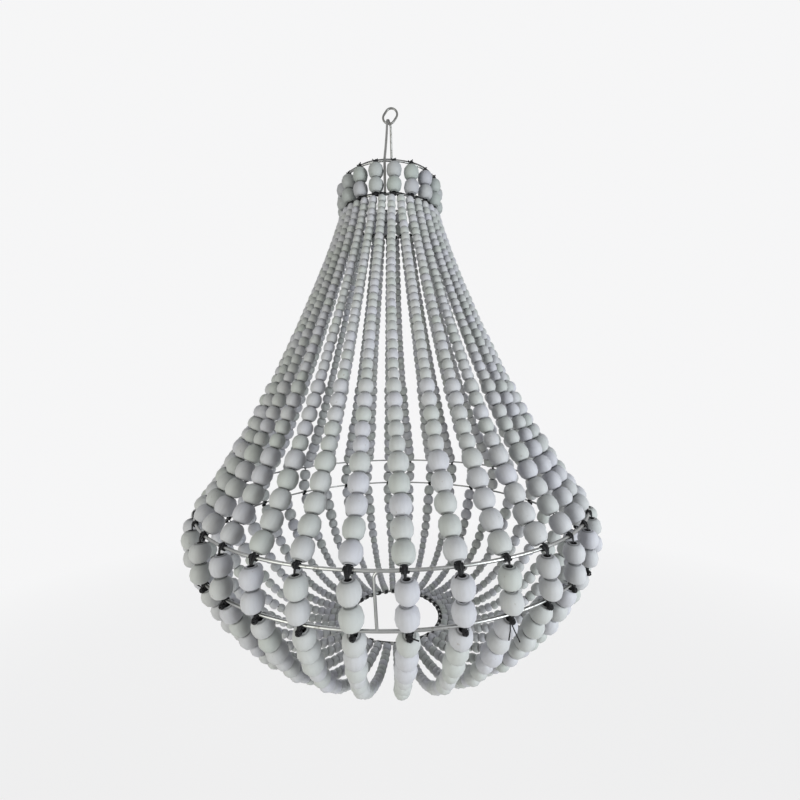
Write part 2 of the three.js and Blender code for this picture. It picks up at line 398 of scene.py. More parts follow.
def drawn_steel(name, bright, dull, spot_level):
    material, tree, shader = surface(name, Metallic=1.0)
    place = attribute(tree, "wire_place", "Vector")
    lines = effect(tree, grain, Place=place, **die_lines)
    patches = effect(tree, grain, Place=place, **dull_patches)
    tarnish = effect(tree, specks, Place=place, Level=spot_level, **tarnish_spots)
    colour = blend_colours(tree, patches, bright, dull)
    tarnish_share = calculate(tree, "MULTIPLY", tarnish, tarnish_strength)
    colour = blend_colours(tree, tarnish_share, colour, tarnished)
    tree.links.new(colour, shader["Base Color"])
    rough = calculate(tree, "MULTIPLY_ADD", tarnish, tarnish_roughness, clean_roughness)
    rough = calculate(tree, "MULTIPLY_ADD", lines, line_roughness, rough)
    tree.links.new(rough, shader["Roughness"])
    relief(tree, shader, lines, wire_relief)
    return material


ring_steel = drawn_steel("ring_steel", (0.41, 0.415, 0.41), (0.21, 0.215, 0.21), 0.6)
hanger_steel = drawn_steel("hanger_steel", (0.24, 0.24, 0.235), (0.11, 0.11, 0.105), 0.58)

# %% [markdown]
# ## Black cord
# The strings are tied with waxed black cord. Its plies show as fine slanting ridges: diagonal bands over
# the place around the cord and along it.

# %% Black cord
ply_fineness, ply_wander = 260.0, 0.6
cord_fuzz = {"Seed": 2.0, "Fineness": 1500.0, "Stretch": 0.4}
deep_black, dusty_black = (0.006, 0.006, 0.007), (0.03, 0.03, 0.032)
ply_relief = 0.12 * mm


def waxed_cord():
    material, tree, shader = surface("waxed_cord", Roughness=0.6, Specular_IOR_Level=0.15)
    place = attribute(tree, "wire_place", "Vector")
    plies = add(
        tree, "ShaderNodeTexWave", {"Vector": place, "Scale": ply_fineness, "Distortion": ply_wander},
        wave_type="BANDS", bands_direction="DIAGONAL",
    )
    fuzz = effect(tree, grain, Place=place, **cord_fuzz)
    colour = blend_colours(tree, fuzz, deep_black, dusty_black)
    tree.links.new(colour, shader["Base Color"])
    relief(tree, shader, plies.outputs["Fac"], ply_relief)
    return material


black_cord = waxed_cord()


# %% [markdown]
# ## Geometry trees
# Three trees make everything that repeats. The first sweeps a wire or a cord along the splines of a path.
# The second threads beads on the strings. The third sets copies of a piece round a ring. All end by
# turning their instances into real geometry with its material, and the result is kept as a plain mesh.


# %% Helpers that build a tree, end it and run it
def stored(tree, geometry, name, value, kind, domain="POINT"):
    """Geometry that carries a value as a named attribute."""
    inputs = {"Geometry": geometry, "Name": name, "Value": value}
    return add(tree, "GeometryNodeStoreNamedAttribute", inputs, data_type=kind, domain=domain).outputs[0]


def draw_number(tree, low, high, seed):
    inputs = {"Min_001": low, "Max_001": high, "Seed": seed}
    return add(tree, "FunctionNodeRandomValue", inputs, data_type="FLOAT").outputs[1]


def draw_vector(tree, low, high, seed):
    inputs = {"Min": low, "Max": high, "Seed": seed}
    return add(tree, "FunctionNodeRandomValue", inputs, data_type="FLOAT_VECTOR").outputs[0]


def copies_on(tree, points, thing, facing, least_turn, most_turn, size, seed):
    """Copies of an object on points, each turned by random angles about its own axes."""
    turn = draw_vector(tree, least_turn, most_turn, seed)
    turn = add(tree, "FunctionNodeEulerToRotation", {"Euler": turn}).outputs[0]
    inputs = {"Rotation": facing, "Rotate By": turn}
    rotation = add(tree, "FunctionNodeRotateRotation", inputs, rotation_space="LOCAL").outputs[0]
    copied = add(tree, "GeometryNodeObjectInfo", {"Object": thing, "As Instance": True}).outputs["Geometry"]
    inputs = {"Points": points, "Instance": copied, "Rotation": rotation, "Scale": size}
    return add(tree, "GeometryNodeInstanceOnPoints", inputs).outputs[0]


def finish_tree(tree, geometry, material, returned):
    real = add(tree, "GeometryNodeRealizeInstances", {"Geometry": geometry})
    painted = add(tree, "GeometryNodeSetMaterial", {"Geometry": real.outputs[0], "Material": material})
    tree.links.new(painted.outputs[0], returned["Geometry"])


def grow(name, tree, sharp=60, **values):
    """Runs a tree on an empty mesh, with its inputs given by name, and keeps the result as a plain mesh."""
    holder = in_scene(name + "_holder", bpy.data.meshes.new(name + "_holder"))
    modifier = holder.modifiers.new(name, "NODES")
    modifier.node_group = tree
    for label, value in values.items():
        socket = next(s for s in tree.interface.items_tree if s.name == label.replace("_", " "))
        modifier[socket.identifier] = value
    holder.update_tag()
    graph = bpy.context.evaluated_depsgraph_get()
    mesh = bpy.data.meshes.new_from_object(
        holder.evaluated_get(graph), preserve_all_data_layers=True, depsgraph=graph
    )
    bpy.data.objects.remove(holder)
    mesh.name = name
    mesh.shade_smooth()
    mesh.set_sharp_from_angle(angle=math.radians(sharp))
    return in_scene(name, mesh)


def settle(piece, nodes=(), body="chandelier"):
    """Sets a piece on its body, in place of its nodes, and prints its size."""
    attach(piece, body)
    if nodes:
        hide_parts(*nodes)
    triangles = sum(len(face.vertices) - 2 for face in piece.data.polygons)
    low, high = (
        [round(end(v.co[i] for v in piece.data.vertices), 4) for i in range(3)] for end in (min, max)
    )
    print(piece.name, triangles, "triangles from", low, "to", high)


# %% Tree: wire or cord along a path
def wire_tree():
    tree, given, returned = new_group(
        "wire along a path", "GeometryNodeTree",
        {"Path": an_object, "Thickness": number(waist_wire), "Sides": whole(wire_sides),
         "Material": a_material},
        {"Geometry": "NodeSocketGeometry"},
    )
    path = add(tree, "GeometryNodeObjectInfo", {"Object": given["Path"]}).outputs["Geometry"]
    along = add(tree, "GeometryNodeSplineParameter").outputs["Length"]
    path = stored(tree, path, "along", along, "FLOAT")
    radius = calculate(tree, "MULTIPLY", given["Thickness"], 0.5)
    ring = add(tree, "GeometryNodeCurvePrimitiveCircle", {"Resolution": given["Sides"], "Radius": radius})
    around = add(tree, "GeometryNodeInputPosition").outputs[0]
    section = stored(tree, ring.outputs[0], "around", around, "FLOAT_VECTOR")
    inputs = {"Curve": path, "Profile Curve": section, "Fill Caps": True}
    swept = add(tree, "GeometryNodeCurveToMesh", inputs).outputs[0]
    around, along = (
        add(tree, "GeometryNodeInputNamedAttribute", {"Name": name}, data_type=kind).outputs[0]
        for name, kind in (("around", "FLOAT_VECTOR"), ("along", "FLOAT"))
    )
    side = add(tree, "ShaderNodeSeparateXYZ", {"Vector": around}).outputs
    swept = stored(tree, swept, "wire_place", combined(tree, side[0], side[1], along), "FLOAT_VECTOR")
    finish_tree(tree, swept, given["Material"], returned)
    return tree


wire_along = wire_tree()


# %% Tree: beads threaded on the strings
def bead_tree():
    tree, given, returned = new_group(
        "beads on strings", "GeometryNodeTree",
        {"Strings": an_object, "Bead": an_object, "Count": whole(5), "First Centre": number(),
         "Last Centre": number(), "Lean": number(0.03), "Slip": number(0.1 * mm), "Aside": number(bead_play),
         "Size Spread": number(0.012), "Seed": whole(0), "Material": a_material},
        {"Geometry": "NodeSocketGeometry"},
    )
    strings = add(tree, "GeometryNodeObjectInfo", {"Object": given["Strings"]}).outputs["Geometry"]
    inputs = {"Curve": strings, "Start_001": given["First Centre"], "End_001": given["Last Centre"]}
    stretch = add(tree, "GeometryNodeTrimCurve", inputs, mode="LENGTH").outputs[0]
    spots = add(tree, "GeometryNodeCurveToPoints", {"Curve": stretch, "Count": given["Count"]}, mode="COUNT")
    tangent = spots.outputs["Tangent"]
    facing = add(tree, "FunctionNodeAlignRotationToVector", {"Vector": tangent}, axis="Z").outputs[0]
    lean, slip, aside, seed = given["Lean"], given["Slip"], given["Aside"], given["Seed"]
    lean_back, slip_back, aside_back = (
        calculate(tree, "MULTIPLY", most, -1.0) for most in (lean, slip, aside)
    )
    size_seed, slip_seed, tone_seed, aside_seed = (
        calculate(tree, "ADD", seed, step) for step in (1.0, 2.0, 3.0, 4.0)
    )
    slid = draw_number(tree, slip_back, slip, slip_seed)
    inputs = {"Vector": tangent, "Scale": slid}
    shift = add(tree, "ShaderNodeVectorMath", inputs, operation="SCALE").outputs[0]
    least_aside, most_aside = (combined(tree, reach, reach, 0.0) for reach in (aside_back, aside))
    shift = calculate_vector(tree, "ADD", shift, draw_vector(tree, least_aside, most_aside, aside_seed))
    inputs = {"Geometry": spots.outputs[0], "Offset": shift}
    threaded = add(tree, "GeometryNodeSetPosition", inputs).outputs[0]
    least_turn = combined(tree, lean_back, lean_back, 0.0)
    most_turn = combined(tree, lean, lean, full_turn)
    size = draw_number(tree, calculate(tree, "SUBTRACT", 1.0, given["Size Spread"]), 1.0, size_seed)
    beads = copies_on(tree, threaded, given["Bead"], facing, least_turn, most_turn, size, seed)
    beads = stored(tree, beads, "bead_tone", draw_number(tree, 0.0, 1.0, tone_seed), "FLOAT", "INSTANCE")
    finish_tree(tree, beads, given["Material"], returned)
    return tree


beads_on_strings = bead_tree()


# %% Tree: copies of a piece round a ring
def round_tree():
    tree, given, returned = new_group(
        "copies round a ring", "GeometryNodeTree",
        {"Piece": an_object, "Count": whole(4), "Radius": number(0.1), "Height": number(),
         "Azimuth": number(), "Turn Spread": number(), "Size Spread": number(), "Seed": whole(0),
         "Material": a_material},
        {"Geometry": "NodeSocketGeometry"},
    )
    inputs = {"Vertices": given["Count"], "Radius": given["Radius"]}
    circle = add(tree, "GeometryNodeMeshCircle", inputs).outputs[0]
    from_x = calculate(tree, "SUBTRACT", given["Azimuth"], math.pi / 2)
    turn, rise = (combined(tree, 0.0, 0.0, value) for value in (from_x, given["Height"]))
    inputs = {"Geometry": circle, "Rotation": turn, "Translation": rise}
    placed = add(tree, "GeometryNodeTransform", inputs).outputs[0]
    position = add(tree, "GeometryNodeInputPosition").outputs[0]
    outwards = calculate_vector(tree, "MULTIPLY", position, (1.0, 1.0, 0.0))
    facing = add(
        tree, "FunctionNodeAlignRotationToVector", {"Vector": outwards}, axis="X", pivot_axis="Z"
    ).outputs[0]
    back = calculate(tree, "MULTIPLY", given["Turn Spread"], -1.0)
    least_turn, most_turn = (combined(tree, angle, angle, angle) for angle in (back, given["Turn Spread"]))
    least_size, most_size = (
        calculate(tree, operation, 1.0, given["Size Spread"]) for operation in ("SUBTRACT", "ADD")
    )
    size = draw_number(tree, least_size, most_size, calculate(tree, "ADD", given["Seed"], 1.0))
    copies = copies_on(tree, placed, given["Piece"], facing, least_turn, most_turn, size, given["Seed"])
    finish_tree(tree, copies, given["Material"], returned)
    return tree


copies_round = round_tree()


# %% Helper: a path of splines that a tree can read
def path_object(name, lines, cyclic=False):
    """A curve with one straight-pointed spline for each list of points."""
    curve = bpy.data.curves.new(name, "CURVE")
    curve.dimensions = "3D"
    curve.twist_mode = "MINIMUM"
    for points in lines:
        spline = curve.splines.new("POLY")
        spline.points.add(len(points) - 1)
        for point, place in zip(spline.points, points):
            point.co = (*place, 1.0)
        spline.use_cyclic_u = cyclic
    return in_scene(name, curve)


def tube(name, lines, thickness, sides, material, cyclic=False):
    """Wires or cords of one thickness, each along its own list of points."""
    path = path_object(name + "_path", lines, cyclic)
    piece = grow(name, wire_along, Path=path, Thickness=thickness, Sides=sides, Material=material)
    bpy.data.objects.remove(path)
    return piece


# %% [markdown]
# ## Rings, struts, bail and link
# Each ring is one wire bent round and butt welded. The waist has two rings, joined by upright struts whose
# heads bend over along the upper ring. The bail is a hairpin that stands outside both crown rings, with a
# small twist under its crest. The hanging link is an oval of wire at the very top, which the whole
# chandelier hangs from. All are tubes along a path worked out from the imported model.

# %% Wire rings
ring_steps = 180
rings = (
    ("crown_top_wire", "crown_top_ring", crown_radius, crown_top, crown_wire),
    ("crown_lower_wire", "crown_lower_ring", crown_radius, crown_foot, crown_wire),
    ("bottom_wire", "bottom_ring", bottom_radius, bottom_height, bottom_wire),
    ("waist_upper_wire", "waist_frame", waist_radius, waist_top, waist_wire),
    ("waist_lower_wire", "waist_frame", waist_radius, waist_foot, waist_wire),
)
for name, node, radius, height, wire in rings:
    points = [at_azimuth(full_turn * i / ring_steps, radius, height) for i in range(ring_steps)]
    ring = tube(name, [points], wire, wire_sides, ring_steel, cyclic=True)
    settle(ring, [node])


# %% Struts of the waist
def arc(centre, radius, start, end, steps):
    """Points of an arc in a plane, as pairs."""
    angles = [start + (end - start) * i / steps for i in range(steps + 1)]
    return [(centre[0] + radius * math.cos(a), centre[1] + radius * math.sin(a)) for a in angles]


strut_bend = 6 * mm
strut_head = 9 * mm
strut_lean = 2 * mm
strut_steps = 8
strut_rise = waist_top - waist_foot
bend_centre = (strut_bend - strut_lean, strut_rise - strut_bend)
strut_line = [(0.0, 0.0)]
strut_line += arc(bend_centre, strut_bend, math.pi, math.pi / 2, strut_steps)
strut_line += [(strut_head, strut_rise)]
strut_points = [Vector((0, y, z)) for y, z in strut_line]
strut_part = tube("strut_part", [strut_points], strut_wire, wire_sides, ring_steel)
struts = grow(
    "waist_struts", copies_round, Piece=strut_part, Count=strut_count, Radius=waist_radius,
    Height=waist_foot, Azimuth=strut_azimuth, Material=ring_steel,
)
bpy.data.objects.remove(strut_part)
settle(struts, ["waist_frame"])

# %% Bail
bail_crest = 7 * mm
bail_shoulder = 8 * mm
bail_twist = -2 * mm
slant_steps, bend_steps = 8, 6
crest_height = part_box("bail")[1].z - bail_wire / 2
leg_radius = crown_radius + crown_wire / 2 + fit + bail_wire / 2
shoulder_height = crown_top + crown_wire / 2
rise = crest_height - bail_crest - shoulder_height
slope = math.atan2(rise, leg_radius)
bend = (math.pi / 2 - slope) / 2
shoulder_drop = bail_shoulder * math.tan(bend)


def bail_leg(side):
    """One leg from its foot up to the crest, with a rounded shoulder and a little twist under the crest."""
    centre = (leg_radius - bail_shoulder, shoulder_height - shoulder_drop)
    turn = arc(centre, bail_shoulder, 0, math.pi / 2 - slope, bend_steps)
    crest = arc((0, crest_height - bail_crest), bail_crest, math.pi / 2 - slope, math.pi / 2, bend_steps)
    foot, top = Vector(turn[-1]), Vector(crest[0])
    shares = [i / slant_steps for i in range(1, slant_steps)]
    line = [(leg_radius, crown_foot)] + turn + [foot.lerp(top, share) for share in shares] + crest
    twists = [0.0] * (1 + len(turn)) + [share**2 for share in shares]
    twists += [(1 - i / (len(crest) - 1)) ** 2 for i in range(len(crest))]
    return [(side * out, up, side * bail_twist * twist) for (out, up), twist in zip(line, twists)]


bail_line = bail_leg(1) + bail_leg(-1)[::-1][1:]
bail_points = [at_azimuth(bail_azimuth, *place) for place in bail_line]
bail = tube("bail_wire", [bail_points], bail_wire, wire_sides, hanger_steel)
settle(bail, ["bail"])

# %% Hanging link
link_tilt = math.radians(33)
link_length = 26 * mm
link_width = 19.5 * mm
link_bend = (link_width - link_wire) / 2
link_seat = link_bend - link_wire / 2 - bail_wire / 2 - fit
link_foot = Vector((0, 0, crest_height + link_seat))
link_span = link_length - link_width
link_steps = 16
link_line = arc((0, link_span), link_bend, 0, math.pi, link_steps)
link_line += arc((0, 0), link_bend, math.pi, full_turn, link_steps)
tilt = Matrix.Rotation(link_tilt, 3, "Y")
link_points = [tilt @ Vector((x, 0, z)) + link_foot for x, z in link_line]
link = tube("link_wire", [link_points], link_wire, wire_sides, hanger_steel, cyclic=True)
settle(link, ["hanging_link"], "link")

# %% [markdown]
# ## The strings' lines
# A string hangs in a slack curve from the crown's lower ring to the upper waist ring, and in another from
# the lower waist ring to the bottom ring. Each is one Bezier curve, whose two handles are shares of its
# span and drop. Between the waist rings the string stands upright, just outside them, and its cord steps
# over the wire. On the lower waist ring the strings stand a little further round. Small sideways drifts
# keep them from looking machine made. Those of the strings that show best follow the photograph. The
# others are random, and half as large in the bowl.

# %% Lines of the strings
shade_shares = ((0.067, 0.157), (0.684, 0.861))
bowl_shares = ((0.111, 0.32), (0.352, 1.145))
curve_steps = 60
sway, sway_seed = 1.8 * mm, 11
bowl_sway_share = -0.5
seen_shade_drifts = {0: -2 * mm, 1: 4 * mm, 2: 4.5 * mm, 15: -3 * mm, 16: -4 * mm, 35: -2 * mm}
seen_bowl_drifts = {0: -2.5 * mm, 1: 2 * mm, 32: -2 * mm, 33: -3.5 * mm, 34: -5 * mm, 35: -5.5 * mm}
shade_lean, bowl_lean = -1.5 * mm, 1 * mm
waist_turn = math.radians(0.75)
seat = waist_wire / 2 + fit + cord_room / 2


def hanging_line(start, end, shares):
    """Points of a slack curve between two rings, each given by its radius and height."""
    handles = [[start[k] + share[k] * (end[k] - start[k]) for k in (0, 1)] for share in shares]
    corners = (start, *handles, end)
    points = []
    for i in range(curve_steps + 1):
        t = i / curve_steps
        u = 1 - t
        weights = (u**3, 3 * u * u * t, 3 * u * t * t, t**3)
        points.append(tuple(sum(w * c[k] for w, c in zip(weights, corners)) for k in (0, 1)))
    return points


def length_of(points):
    return sum(math.dist(a, b) for a, b in zip(points, points[1:]))


def bead_stop(ring_point, next_point):
    """Length of string between a waist ring and the first bead, which leaves room for the cord."""
    return seat * math.dist(ring_point, next_point) / abs(ring_point[1] - next_point[1])


shade_line = hanging_line((crown_radius, crown_foot), (waist_radius, waist_top), shade_shares)
bowl_line = hanging_line((waist_radius, waist_foot), (bottom_radius, bottom_height), bowl_shares)
waist_line = [(waist_radius + seat, waist_top), (waist_radius + seat, waist_foot)]
shade_length = length_of(shade_line)
bowl_length = length_of(bowl_line)
shade_stop = bead_stop(shade_line[-1], shade_line[-2])
bowl_stop = bead_stop(bowl_line[0], bowl_line[1])
string_azimuths = [string_azimuth + full_turn * i / string_count for i in range(string_count)]
chance = random.Random(sway_seed)
shade_drifts = [seen_shade_drifts.get(i, chance.uniform(-sway, sway)) for i in range(string_count)]
bowl_drifts = [seen_bowl_drifts.get(i, bowl_sway_share * drift) for i, drift in enumerate(shade_drifts)]
no_drifts = [0.0] * string_count


def hung(line, drifts, lean=0.0, turns=(0.0, 0.0)):
    """
    A line at every azimuth, bowed sideways by its own drift and by a lean that all of them have. It may be
    turned round the axis a little at its two ends.
    """
    shares = [k / (len(line) - 1) for k in range(len(line))]
    bows = [math.sin(math.pi * share) ** 2 for share in shares]
    turned = [turns[0] + share * (turns[1] - turns[0]) for share in shares]
    return [
        [
            at_azimuth(azimuth + turn, out, up, drift * b) + Vector((lean * b, 0, 0))
            for (out, up), b, turn in zip(line, bows, turned)
        ]
        for azimuth, drift in zip(string_azimuths, drifts)
    ]


shade_paths = hung(shade_line, shade_drifts, shade_lean)
waist_paths = hung(waist_line, no_drifts, turns=(0.0, waist_turn))
bowl_paths = hung(bowl_line, bowl_drifts, bowl_lean, (waist_turn, 0.0))
shade_strings = path_object("shade_strings", shade_paths)
waist_strings = path_object("waist_strings", waist_paths)
bowl_strings = path_object("bowl_strings", bowl_paths)
lengths = (shade_length, bowl_length, shade_stop, bowl_stop)
print("lengths and stops of shade and bowl, metres:", [round(length, 4) for length in lengths])

# %% [markdown]
# ## Turned beads
# A bead is a barrel with two flat drilled ends and a hole right through, a little shorter than it is wide.
# It is turned like on a lathe: a closed profile, swept round the axis. The profile is part of a rounded
# square, so it is fuller than a ball, and the small beads have wider ends for their size than the large
# ones. Few sides are enough here, if the corners stand a little outside the true circle. Each corner keeps
# its place in the bead's own axes for the grain, and how far it is on the way to the end for the painted
# shade at the rims and in the holes: 0 at the widest place, 1 at the rim and 2 in the hole.

# %% One turned bead
bead_hole_share = 0.3
barrel_power = 2.3
round_ends, wide_ends = 0.46, 0.68
fine_levels = (1, 0.86, 0.56, 0, -0.56, -0.86, -1)
coarse_levels = (1, 0.62, 0, -0.62, -1)
large_form = (12, fine_levels, round_ends)
small_form = (10, coarse_levels, wide_ends)


def barrel_share(level, end_share):
    """Radius of a bead's side as a share of the widest, at a level from the middle, 0, to an end, 1."""
    fall = (1 - end_share**barrel_power) * abs(level) ** barrel_power
    return (1 - fall) ** (1 / barrel_power)


def turned_bead(name, width, length, sides, levels, end_share):
    corner_radius = width / 4 * (1 + 1 / math.cos(math.pi / sides))
    hole = width / 2 * bead_hole_share
    side_points = [(corner_radius * barrel_share(level, end_share), level, abs(level)) for level in levels]
    profile = [(hole, 1, 2)] + side_points + [(hole, -1, 2)]
    mesh = bmesh.new()
    place = mesh.verts.layers.float_vector.new("turned")
    to_end = mesh.verts.layers.float.new("to_end")
    rows = []
    for side in range(sides):
        angle = full_turn * side / sides
        row = []
        for radius, level, way in profile:
            corner = (radius * math.cos(angle), radius * math.sin(angle), level * length / 2)
            row.append(mesh.verts.new(corner))
            row[-1][place] = corner
            row[-1][to_end] = way
        rows.append(row)
    for side, row in enumerate(rows):
        following = rows[(side + 1) % sides]
        for i in range(len(profile)):
            j = (i + 1) % len(profile)
            mesh.faces.new((row[i], row[j], following[j], following[i]))
    bmesh.ops.recalc_face_normals(mesh, faces=mesh.faces)
    data = bpy.data.meshes.new(name)
    mesh.to_mesh(data)
    mesh.free()
    return in_scene(name, data)


# %% [markdown]
# ## Threading the beads
# The widest beads lie nearest the waist and the smallest at the crown and the bottom ring. Each run of one
# size is one mesh for all 36 strings. A narrow seam is left between neighbours, where the cord shows.

# %% Threading the beads
node_names = sorted(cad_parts)
strand_nodes = [n for n in node_names if n.startswith("bead_strand")]
slip_share = 0.4


def bead_run(name, path, nodes, slot, material, width, count, start, end, seed, gap=seam, play=bead_play):
    """Beads of one width on all the strings of a path, between two lengths along it."""
    pitch = (end - start) / count
    form = small_form if width < broad_bead else large_form
    bead = turned_bead(name + "_bead", width, pitch - gap, *form)
    run = grow(
        name, beads_on_strings, sharp=40, Strings=path, Bead=bead, Count=count,
        First_Centre=start + pitch / 2, Last_Centre=end - pitch / 2, Slip=slip_share * gap, Aside=play,
        Seed=seed, Material=material,
    )
    bpy.data.objects.remove(bead)
    settle(run, nodes)


def string_run(name, path, *measures, **looseness):
    bead_run(name, path, strand_nodes, "strand_beads", string_wash, *measures, **looseness)


bead_sizes = (("large", large_bead), ("broad", broad_bead), ("medium", medium_bead), ("small", small_bead))


def graded_runs(part, path, counts, waist_end, ring_end, seeds):
    """Runs of beads, the widest at the waist. The small ones share the length that the others leave."""
    way = 1 if waist_end < ring_end else -1
    marks = [waist_end]
    for (size, width), count in zip(bead_sizes[:-1], counts):
        marks.append(marks[-1] + way * count * width * bead_length_share)
    marks.append(ring_end)
    runs = list(zip(bead_sizes, counts, seeds, marks, marks[1:]))
    for (size, width), count, seed, *ends in runs[::way]:
        string_run(f"{part}_beads_{size}", path, width, count, *sorted(ends), seed)


shade_counts, bowl_counts = (5, 5, 6, 19), (3, 3, 3, 11)
shade_foot_share = 0.75
shade_start = crown_wire / 2 + cord + fit
shade_end = shade_length - shade_foot_share * shade_stop
graded_runs("shade", shade_strings, shade_counts, shade_end, shade_start, (40, 30, 20, 10))

pair_head_room, pair_foot_share = 2.2 * mm, 0.15
open_seam, pair_play = 0.7 * mm, 0.8 * mm
pair_beads = 2
pair_start = seat + pair_head_room
pair_end = waist_top - waist_foot - waist_wire / 2 - fit - pair_foot_share * cord_room
string_run(
    "waist_beads", waist_strings, large_bead, pair_beads, pair_start, pair_end, 50,
    gap=open_seam, play=pair_play,
)

bowl_head_room = 1.4 * mm
bowl_start = bowl_stop + bowl_head_room
bowl_end = bowl_length - bottom_wire / 2 - fit
graded_runs("bowl", bowl_strings, bowl_counts, bowl_start, bowl_end, (60, 70, 80, 90))

# %% Crown beads
pair_nodes = [n for n in node_names if n.startswith("crown_beads")]
pair_azimuths = [pair_azimuth + full_turn * i / pair_count for i in range(pair_count)]
pair_paths = [[at_azimuth(a, crown_radius, z) for z in (crown_foot, crown_top)] for a in pair_azimuths]
crown_strings = path_object("crown_strings", pair_paths)
crown_gap = crown_wire / 2 + 3 * fit
bead_run(
    "crown_pairs", crown_strings, pair_nodes, "crown_beads", crown_shaded_wash, crown_bead, pair_beads, crown_gap,
    crown_top - crown_foot - crown_gap, 100,
)

# %% [markdown]
# ## Cord, hitches and knots
# One black cord runs through each string from ring to ring. It is hitched round both waist rings, tied off
# in a ball under the lower one, and wound round the crown and bottom rings. Each hitch is modelled once, in
# axes that point outwards, along the ring and up, and is then set round its ring with small random turns.

# %% Cords through the beads
over_share = 0.75
over = over_share * seat
cord_paths = []
for azimuth, shade, waist, bowl in zip(string_azimuths, shade_paths, waist_paths, bowl_paths):
    upper_step = at_azimuth(azimuth, waist_radius + over, waist_top + over)
    lower_step = at_azimuth(azimuth + waist_turn, waist_radius + over, waist_foot - over)
    cord_paths.append(shade[:-1] + [upper_step] + waist + [lower_step] + bowl[1:])
settle(tube("string_cords", cord_paths, cord, thread_sides, black_cord))
settle(tube("crown_cords", pair_paths, cord, thread_sides, black_cord))
for path in (shade_strings, waist_strings, bowl_strings, crown_strings):
    bpy.data.objects.remove(path)


# %% Shapes that cord is tied in
def coil(wire, turns, pitch=1.0, steps=10):
    """Turns of cord round a wire that runs along y. The pitch is given in cord widths."""
    radius = (wire + cord) / 2
    count = round(turns * steps)
    points = []
    for i in range(count + 1):
        angle = full_turn * i / steps
        along = (i / count - 0.5) * turns * pitch * cord
        points.append(Vector((radius * math.cos(angle), along, radius * math.sin(angle))))
    return points


def laid_along(radius, height, wire, side, waves):
    """Points of a cord that lies along a ring, on one side of its wire, and wanders round it a little."""
    reach = (wire + cord) / 2
    wander = math.radians(25)
    points = []
    for i in range(2 * ring_steps):
        azimuth = full_turn * i / (2 * ring_steps)
        angle = side + wander * math.sin(waves * azimuth)
        points.append(at_azimuth(azimuth, radius + reach * math.cos(angle), height + reach * math.sin(angle)))
    return points


def bow(start, end, bulge, steps=6):
    """A length of cord from one point to another, bowed a little."""
    start, end, bulge = Vector(start), Vector(end), Vector(bulge)
    return [start.lerp(end, i / steps) + bulge * math.sin(math.pi * i / steps) for i in range(steps + 1)]


def ball(centre, size, turns=3, steps=30):
    """A knot drawn tight: cord wound over a ball about one axis, and then about another."""
    reach = (size - cord) / 2
    span = math.radians(140)
    points = []
    for axis in (0, 1):
        for i in range(steps + 1):
            lift = (i / steps - 0.5) * span
            angle = full_turn * turns * i / steps
            flat = reach * math.cos(lift)
            place = (flat * math.cos(angle), flat * math.sin(angle), reach * math.sin(lift))
            points.append(Vector(centre) + Vector(place if axis == 0 else place[::-1]))
    return points


def tie(name, lines, count, radius, height, azimuth, seed, turn_spread, size_spread=0.06):
    """Makes one hitch and sets it round a ring."""
    part = tube(name + "_part", lines, cord, knot_sides, black_cord)
    hitches = grow(
        name, copies_round, Piece=part, Count=count, Radius=radius, Height=height, Azimuth=azimuth,
        Turn_Spread=turn_spread, Size_Spread=size_spread, Seed=seed, Material=black_cord,
    )
    bpy.data.objects.remove(part)
    settle(hitches)


# %% Hitches on the upper waist ring
gather_foot = Vector((seat, 0, -pair_start - 1.5 * mm))
hole_above = (shade_line[-2][0] - waist_radius, 0, shade_line[-2][1] - waist_top)


def upper_hitch(turns, strands):
    """Turns on the ring, gathered into the bead's hole below and led up into the bead above."""
    lines = [coil(waist_wire, turns)]
    for i in range(strands):
        side = i - (strands - 1) / 2
        foot = gather_foot + Vector((0, 0.1 * side * cord, 0))
        lines.append(bow((waist_wire / 2 + cord / 2, side * cord, 0), foot, (cord / 2, 0, 0)))
    for side in (-1.5, -0.5, 0.5, 1.5):
        lines.append(bow((waist_wire / 2, side * cord, cord), hole_above, (0, 0, cord)))
    return lines


string_step = full_turn / string_count
every_second = (string_count // 2, waist_radius, waist_top)
tie("upper_hitches_broad", upper_hitch(6, 5), *every_second, string_azimuth - string_step, 5, 0.06)
tie("upper_hitches_narrow", upper_hitch(5, 2), *every_second, string_azimuth, 6, 0.08)

# %% Hitches and ball knots on the lower waist ring
knot_size = 6 * mm
knot_centre = Vector((3 * mm, 0, -4.6 * mm))
hole_below = (bowl_line[3][0] - waist_radius, 0, bowl_line[3][1] - waist_foot)
lower_hitch = [coil(waist_wire, 4), ball(knot_centre, knot_size)]
for side in (-1, 0, 1):
    lower_hitch.append(bow((waist_wire / 2 + cord / 2, side * cord, 0), knot_centre, (0.6 * cord, 0, 0)))
lower_hitch.append(bow(knot_centre, hole_below, (0, 0, 0)))
foot_azimuth = string_azimuth + waist_turn
tie("lower_hitches", lower_hitch, string_count, waist_radius, waist_foot, foot_azimuth, 15, 0.15)

